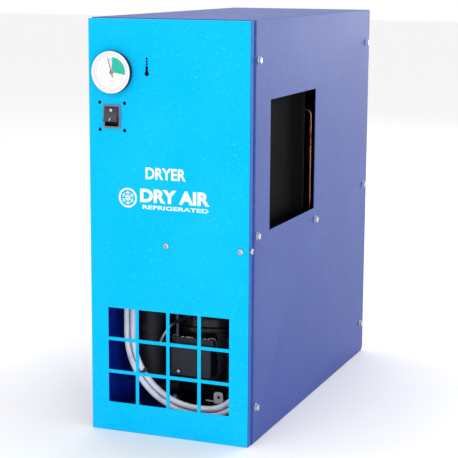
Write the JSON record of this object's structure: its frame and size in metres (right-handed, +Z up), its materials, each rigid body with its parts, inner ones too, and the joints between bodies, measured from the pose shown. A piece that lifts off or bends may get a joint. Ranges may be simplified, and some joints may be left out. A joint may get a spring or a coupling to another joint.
{
  "type": "refrigerated air dryer",
  "caption": "Tall narrow sheet-metal compressed air dryer with dial thermometer, rocker switch, vent grid, condenser window, rear air ports and a lead stored inside.",
  "frame": {"origin": "on the floor, at the centre of the casing's base", "axes": "+X to the right seen from the front, +Y to the rear where the air ports are, +Z up"},
  "size_m": [0.2375, 0.5691, 0.561],
  "materials": {
    "front_paint": "fine textured powder coat, satin",
    "cover_paint": "fine textured powder coat, satin",
    "zinc": "zinc plated",
    "steel": "plain steel",
    "shell_black": "gloss black enamel",
    "black_plastic": "moulded, satin",
    "foam": "closed-cell foam, matt",
    "black_rubber": "moulded rubber, matt",
    "copper": "drawn copper, bright",
    "brass": "machined brass",
    "fins": "black coated fins",
    "dial_white": "printed white card",
    "lens": "clear",
    "rocker_black": "moulded, semi-gloss",
    "knob_grey": "moulded",
    "lead_grey": "soft PVC sheath",
    "hose_clear": "soft tube, milky"
  },
  "bodies": {
    "casing": {"front_panel": "front_paint", "wrap_cover": "cover_paint", "base_tray": "cover_paint", "rear_panel": "cover_paint", "front_frame": "cover_paint", "mid_shelf": "cover_paint", "gauge_case": "black_plastic", "gauge_bezel": "steel", "gauge_dial": "dial_white", "gauge_lens": "lens", "switch_frame": "black_plastic", "wiring_box": "black_plastic", "compressor_lower_shell": "shell_black", "compressor_upper_shell": "shell_black", "compressor_foot_plate": "shell_black", "compressor_motor": "steel", "grommet_front_left": "black_rubber", "grommet_front_right": "black_rubber", "grommet_rear_left": "black_rubber", "grommet_rear_right": "black_rubber", "terminal_box": "black_plastic", "condenser_core": "fins", "fan_shroud": "zinc", "fan_motor": "black_plastic", "discharge_tube": "copper", "liquid_tube": "copper", "filter_drier": "copper", "suction_tube": "copper", "suction_insulation": "foam", "bypass_valve": "brass", "heat_exchanger": "foam", "moisture_separator": "steel", "air_inlet_port": "brass", "air_outlet_port": "brass", "drain_valve": "brass", "drain_timer": "black_plastic", "drain_hose": "hose_clear", "drain_outlet": "brass", "cord_grip": "black_rubber", "cord_drop": "lead_grey", "cord_tail": "lead_grey", "cord_coil": "lead_grey", "mains_plug": "black_rubber", "front_screw_centre": "zinc", "front_screw_right": "zinc", "flange_screw": "zinc", "cover_screw_front_top": "zinc", "cover_screw_front_middle": "zinc", "cover_screw_front_bottom": "zinc", "cover_screw_rear_top": "zinc", "cover_screw_rear_middle": "zinc", "cover_screw_rear_bottom": "zinc", "cover_screw_shelf": "zinc"},
    "needle": {"gauge_needle": "steel"},
    "rocker": {"switch_rocker": "rocker_black"},
    "impeller": {"fan_impeller": "steel"},
    "rotor": {"compressor_rotor": "steel"},
    "test_button": {"drain_test_button": "knob_grey"},
    "interval_knob": {"drain_interval_knob": "knob_grey"},
    "time_knob": {"drain_time_knob": "knob_grey"}
  },
  "joints": [
    {"name": "gauge_needle_turn", "type": "hinge", "parent": "casing", "child": "needle", "pos_m": [-0.0777, -0.2742, 0.4906], "axis": [0, 1, 0], "range_deg": [-120, 150]},
    {"name": "switch_rock", "type": "hinge", "parent": "casing", "child": "rocker", "pos_m": [-0.0801, -0.2625, 0.4321], "axis": [1, 0, 0], "range_deg": [0, 30]},
    {"name": "fan_spin", "type": "hinge", "parent": "casing", "child": "impeller", "pos_m": [0.039, -0.0985, 0.368], "axis": [1, 0, 0], "continuous": true},
    {"name": "compressor_spin", "type": "hinge", "parent": "casing", "child": "rotor", "pos_m": [0.0015, -0.0825, 0.07], "axis": [0, 0, 1], "continuous": true},
    {"name": "drain_test_press", "type": "slide", "parent": "casing", "child": "test_button", "axis": [0, 1, 0], "range_m": [0, 0.0025], "stiffness_N_per_m": 250},
    {"name": "drain_interval_turn", "type": "hinge", "parent": "casing", "child": "interval_knob", "pos_m": [-0.016, 0.1273, 0.1274], "axis": [0, 1, 0], "range_deg": [-135, 135]},
    {"name": "drain_time_turn", "type": "hinge", "parent": "casing", "child": "time_knob", "pos_m": [0.002, 0.1273, 0.1274], "axis": [0, 1, 0], "range_deg": [-135, 135]}
  ]
}
